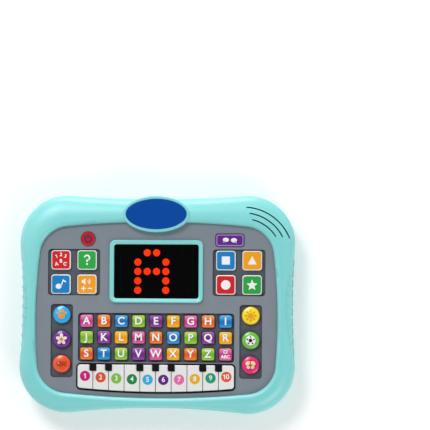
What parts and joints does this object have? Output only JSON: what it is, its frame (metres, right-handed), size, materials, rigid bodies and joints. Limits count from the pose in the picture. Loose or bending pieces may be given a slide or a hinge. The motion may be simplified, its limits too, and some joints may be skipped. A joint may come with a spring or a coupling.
{
  "type": "toy learning tablet",
  "caption": "Flat learning tablet toy with a lobed case, dot-matrix display, alphabet keypad, round and square buttons and a small piano keyboard.",
  "frame": {"origin": "on the table plane under the four feet, in the middle of the case", "axes": "+X to the right along the keyboard rows, +Y up the playing face from the piano to the badge, +Z out of the playing face"},
  "size_m": [0.2464, 0.194, 0.0344],
  "materials": {
    "shell_teal": "satin moulded ABS",
    "deck_grey": "fine matte moulded ABS",
    "badge_blue": "glossy moulded ABS",
    "window_smoke": "glossy smoked acrylic",
    "led_black": "potted dot-matrix module",
    "board_green": "solder-masked board",
    "membrane_grey": "moulded silicone",
    "speaker_steel": "pressed steel",
    "battery_can": "printed steel can",
    "contact_steel": "nickel-plated spring steel",
    "screw_steel": "zinc-plated steel",
    "piano_black": "glossy moulded ABS",
    "piano_white": "glossy moulded ABS",
    "key_pink": "printed moulded key",
    "key_orange": "printed moulded key",
    "key_blue": "printed moulded key",
    "key_lime": "printed moulded key",
    "key_purple": "printed moulded key",
    "key_yellow": "printed moulded key",
    "button_red": "printed moulded button",
    "button_green": "printed moulded button",
    "button_blue": "printed moulded button",
    "button_amber": "printed moulded button",
    "round_sky": "printed domed button",
    "round_purple": "printed domed button",
    "round_orange": "printed domed button",
    "round_yellow": "printed domed button",
    "round_green": "printed domed button",
    "round_magenta": "printed domed button",
    "language_purple": "printed moulded button",
    "power_red": "printed moulded button"
  },
  "bodies": {
    "root": {"badge": "badge_blue", "batteries": "battery_can", "battery_contacts": "contact_steel", "black_keys": "piano_black", "case_screws": "screw_steel", "circuit_board": "board_green", "deck_plate": "deck_grey", "display_window": "window_smoke", "front_shell": "shell_teal", "key_membrane": "membrane_grey", "led_matrix": "led_black", "rear_shell": "shell_teal", "screen_bezel": "shell_teal", "speaker": "speaker_steel"},
    "battery_door": {"battery_door": "shell_teal", "battery_door_screw": "screw_steel"},
    "piano_keys": {"piano_keys": "piano_white"},
    "key_a": {"key_a": "key_pink"},
    "key_b": {"key_b": "key_orange"},
    "key_c": {"key_c": "key_blue"},
    "key_d": {"key_d": "key_lime"},
    "key_e": {"key_e": "key_purple"},
    "key_f": {"key_f": "key_yellow"},
    "key_g": {"key_g": "key_pink"},
    "key_h": {"key_h": "key_orange"},
    "key_i": {"key_i": "key_blue"},
    "key_j": {"key_j": "key_lime"},
    "key_k": {"key_k": "key_purple"},
    "key_l": {"key_l": "key_yellow"},
    "key_m": {"key_m": "key_pink"},
    "key_n": {"key_n": "key_orange"},
    "key_o": {"key_o": "key_blue"},
    "key_p": {"key_p": "key_lime"},
    "key_q": {"key_q": "key_purple"},
    "key_r": {"key_r": "key_yellow"},
    "key_s": {"key_s": "key_orange"},
    "key_t": {"key_t": "key_blue"},
    "key_u": {"key_u": "key_lime"},
    "key_v": {"key_v": "key_purple"},
    "key_w": {"key_w": "key_pink"},
    "key_x": {"key_x": "key_yellow"},
    "key_y": {"key_y": "key_orange"},
    "key_z": {"key_z": "key_lime"},
    "key_mode": {"key_mode": "key_pink"},
    "learn_button": {"learn_button": "button_red"},
    "quiz_button": {"quiz_button": "button_green"},
    "music_button": {"music_button": "button_blue"},
    "volume_button": {"volume_button": "button_amber"},
    "square_button": {"square_button": "button_blue"},
    "triangle_button": {"triangle_button": "button_amber"},
    "circle_button": {"circle_button": "button_red"},
    "star_button": {"star_button": "button_green"},
    "sky_button": {"sky_button": "round_sky"},
    "purple_button": {"purple_button": "round_purple"},
    "orange_button": {"orange_button": "round_orange"},
    "yellow_button": {"yellow_button": "round_yellow"},
    "green_button": {"green_button": "round_green"},
    "magenta_button": {"magenta_button": "round_magenta"},
    "language_button": {"language_button": "language_purple"},
    "power_button": {"power_button": "power_red"}
  },
  "joints": [
    {"name": "press_key_a", "type": "slide", "parent": "root", "child": "key_a", "axis": [0, 0, -1], "range_m": [0, 0.0012], "stiffness_N_per_m": 300, "springref_m": -0.0004},
    {"name": "press_key_b", "type": "slide", "parent": "root", "child": "key_b", "axis": [0, 0, -1], "range_m": [0, 0.0012], "stiffness_N_per_m": 300, "springref_m": -0.0004},
    {"name": "press_key_c", "type": "slide", "parent": "root", "child": "key_c", "axis": [0, 0, -1], "range_m": [0, 0.0012], "stiffness_N_per_m": 300, "springref_m": -0.0004},
    {"name": "press_key_d", "type": "slide", "parent": "root", "child": "key_d", "axis": [0, 0, -1], "range_m": [0, 0.0012], "stiffness_N_per_m": 300, "springref_m": -0.0004},
    {"name": "press_key_e", "type": "slide", "parent": "root", "child": "key_e", "axis": [0, 0, -1], "range_m": [0, 0.0012], "stiffness_N_per_m": 300, "springref_m": -0.0004},
    {"name": "press_key_f", "type": "slide", "parent": "root", "child": "key_f", "axis": [0, 0, -1], "range_m": [0, 0.0012], "stiffness_N_per_m": 300, "springref_m": -0.0004},
    {"name": "press_key_g", "type": "slide", "parent": "root", "child": "key_g", "axis": [0, 0, -1], "range_m": [0, 0.0012], "stiffness_N_per_m": 300, "springref_m": -0.0004},
    {"name": "press_key_h", "type": "slide", "parent": "root", "child": "key_h", "axis": [0, 0, -1], "range_m": [0, 0.0012], "stiffness_N_per_m": 300, "springref_m": -0.0004},
    {"name": "press_key_i", "type": "slide", "parent": "root", "child": "key_i", "axis": [0, 0, -1], "range_m": [0, 0.0012], "stiffness_N_per_m": 300, "springref_m": -0.0004},
    {"name": "press_key_j", "type": "slide", "parent": "root", "child": "key_j", "axis": [0, 0, -1], "range_m": [0, 0.0012], "stiffness_N_per_m": 300, "springref_m": -0.0004},
    {"name": "press_key_k", "type": "slide", "parent": "root", "child": "key_k", "axis": [0, 0, -1], "range_m": [0, 0.0012], "stiffness_N_per_m": 300, "springref_m": -0.0004},
    {"name": "press_key_l", "type": "slide", "parent": "root", "child": "key_l", "axis": [0, 0, -1], "range_m": [0, 0.0012], "stiffness_N_per_m": 300, "springref_m": -0.0004},
    {"name": "press_key_m", "type": "slide", "parent": "root", "child": "key_m", "axis": [0, 0, -1], "range_m": [0, 0.0012], "stiffness_N_per_m": 300, "springref_m": -0.0004},
    {"name": "press_key_n", "type": "slide", "parent": "root", "child": "key_n", "axis": [0, 0, -1], "range_m": [0, 0.0012], "stiffness_N_per_m": 300, "springref_m": -0.0004},
    {"name": "press_key_o", "type": "slide", "parent": "root", "child": "key_o", "axis": [0, 0, -1], "range_m": [0, 0.0012], "stiffness_N_per_m": 300, "springref_m": -0.0004},
    {"name": "press_key_p", "type": "slide", "parent": "root", "child": "key_p", "axis": [0, 0, -1], "range_m": [0, 0.0012], "stiffness_N_per_m": 300, "springref_m": -0.0004},
    {"name": "press_key_q", "type": "slide", "parent": "root", "child": "key_q", "axis": [0, 0, -1], "range_m": [0, 0.0012], "stiffness_N_per_m": 300, "springref_m": -0.0004},
    {"name": "press_key_r", "type": "slide", "parent": "root", "child": "key_r", "axis": [0, 0, -1], "range_m": [0, 0.0012], "stiffness_N_per_m": 300, "springref_m": -0.0004},
    {"name": "press_key_s", "type": "slide", "parent": "root", "child": "key_s", "axis": [0, 0, -1], "range_m": [0, 0.0012], "stiffness_N_per_m": 300, "springref_m": -0.0004},
    {"name": "press_key_t", "type": "slide", "parent": "root", "child": "key_t", "axis": [0, 0, -1], "range_m": [0, 0.0012], "stiffness_N_per_m": 300, "springref_m": -0.0004},
    {"name": "press_key_u", "type": "slide", "parent": "root", "child": "key_u", "axis": [0, 0, -1], "range_m": [0, 0.0012], "stiffness_N_per_m": 300, "springref_m": -0.0004},
    {"name": "press_key_v", "type": "slide", "parent": "root", "child": "key_v", "axis": [0, 0, -1], "range_m": [0, 0.0012], "stiffness_N_per_m": 300, "springref_m": -0.0004},
    {"name": "press_key_w", "type": "slide", "parent": "root", "child": "key_w", "axis": [0, 0, -1], "range_m": [0, 0.0012], "stiffness_N_per_m": 300, "springref_m": -0.0004},
    {"name": "press_key_x", "type": "slide", "parent": "root", "child": "key_x", "axis": [0, 0, -1], "range_m": [0, 0.0012], "stiffness_N_per_m": 300, "springref_m": -0.0004},
    {"name": "press_key_y", "type": "slide", "parent": "root", "child": "key_y", "axis": [0, 0, -1], "range_m": [0, 0.0012], "stiffness_N_per_m": 300, "springref_m": -0.0004},
    {"name": "press_key_z", "type": "slide", "parent": "root", "child": "key_z", "axis": [0, 0, -1], "range_m": [0, 0.0012], "stiffness_N_per_m": 300, "springref_m": -0.0004},
    {"name": "press_key_mode", "type": "slide", "parent": "root", "child": "key_mode", "axis": [0, 0, -1], "range_m": [0, 0.0012], "stiffness_N_per_m": 300, "springref_m": -0.0004},
    {"name": "press_learn_button", "type": "slide", "parent": "root", "child": "learn_button", "axis": [0, 0, -1], "range_m": [0, 0.0015], "stiffness_N_per_m": 300, "springref_m": -0.0004},
    {"name": "press_quiz_button", "type": "slide", "parent": "root", "child": "quiz_button", "axis": [0, 0, -1], "range_m": [0, 0.0015], "stiffness_N_per_m": 300, "springref_m": -0.0004},
    {"name": "press_music_button", "type": "slide", "parent": "root", "child": "music_button", "axis": [0, 0, -1], "range_m": [0, 0.0015], "stiffness_N_per_m": 300, "springref_m": -0.0004},
    {"name": "press_volume_button", "type": "slide", "parent": "root", "child": "volume_button", "axis": [0, 0, -1], "range_m": [0, 0.0015], "stiffness_N_per_m": 300, "springref_m": -0.0004},
    {"name": "press_square_button", "type": "slide", "parent": "root", "child": "square_button", "axis": [0, 0, -1], "range_m": [0, 0.0015], "stiffness_N_per_m": 300, "springref_m": -0.0004},
    {"name": "press_triangle_button", "type": "slide", "parent": "root", "child": "triangle_button", "axis": [0, 0, -1], "range_m": [0, 0.0015], "stiffness_N_per_m": 300, "springref_m": -0.0004},
    {"name": "press_circle_button", "type": "slide", "parent": "root", "child": "circle_button", "axis": [0, 0, -1], "range_m": [0, 0.0015], "stiffness_N_per_m": 300, "springref_m": -0.0004},
    {"name": "press_star_button", "type": "slide", "parent": "root", "child": "star_button", "axis": [0, 0, -1], "range_m": [0, 0.0015], "stiffness_N_per_m": 300, "springref_m": -0.0004},
    {"name": "press_sky_button", "type": "slide", "parent": "root", "child": "sky_button", "axis": [0, 0, -1], "range_m": [0, 0.002], "stiffness_N_per_m": 300, "springref_m": -0.0004},
    {"name": "press_purple_button", "type": "slide", "parent": "root", "child": "purple_button", "axis": [0, 0, -1], "range_m": [0, 0.002], "stiffness_N_per_m": 300, "springref_m": -0.0004},
    {"name": "press_orange_button", "type": "slide", "parent": "root", "child": "orange_button", "axis": [0, 0, -1], "range_m": [0, 0.002], "stiffness_N_per_m": 300, "springref_m": -0.0004},
    {"name": "press_yellow_button", "type": "slide", "parent": "root", "child": "yellow_button", "axis": [0, 0, -1], "range_m": [0, 0.002], "stiffness_N_per_m": 300, "springref_m": -0.0004},
    {"name": "press_green_button", "type": "slide", "parent": "root", "child": "green_button", "axis": [0, 0, -1], "range_m": [0, 0.002], "stiffness_N_per_m": 300, "springref_m": -0.0004},
    {"name": "press_magenta_button", "type": "slide", "parent": "root", "child": "magenta_button", "axis": [0, 0, -1], "range_m": [0, 0.002], "stiffness_N_per_m": 300, "springref_m": -0.0004},
    {"name": "press_language_button", "type": "slide", "parent": "root", "child": "language_button", "axis": [0, 0, -1], "range_m": [0, 0.001], "stiffness_N_per_m": 300, "springref_m": -0.0004},
    {"name": "press_power_button", "type": "slide", "parent": "root", "child": "power_button", "axis": [0, 0, -1], "range_m": [0, 0.001], "stiffness_N_per_m": 300, "springref_m": -0.0004},
    {"name": "press_piano_keys", "type": "hinge", "parent": "root", "child": "piano_keys", "pos_m": [0, -0.0558, 0.0239], "axis": [1, 0, 0], "range_deg": [0, 5], "stiffness_Nm_per_rad": 0.3, "springref_deg": -1.15},
    {"name": "remove_battery_door", "type": "slide", "parent": "root", "child": "battery_door", "axis": [0, 0, -1], "range_m": [0, 0.03]}
  ]
}
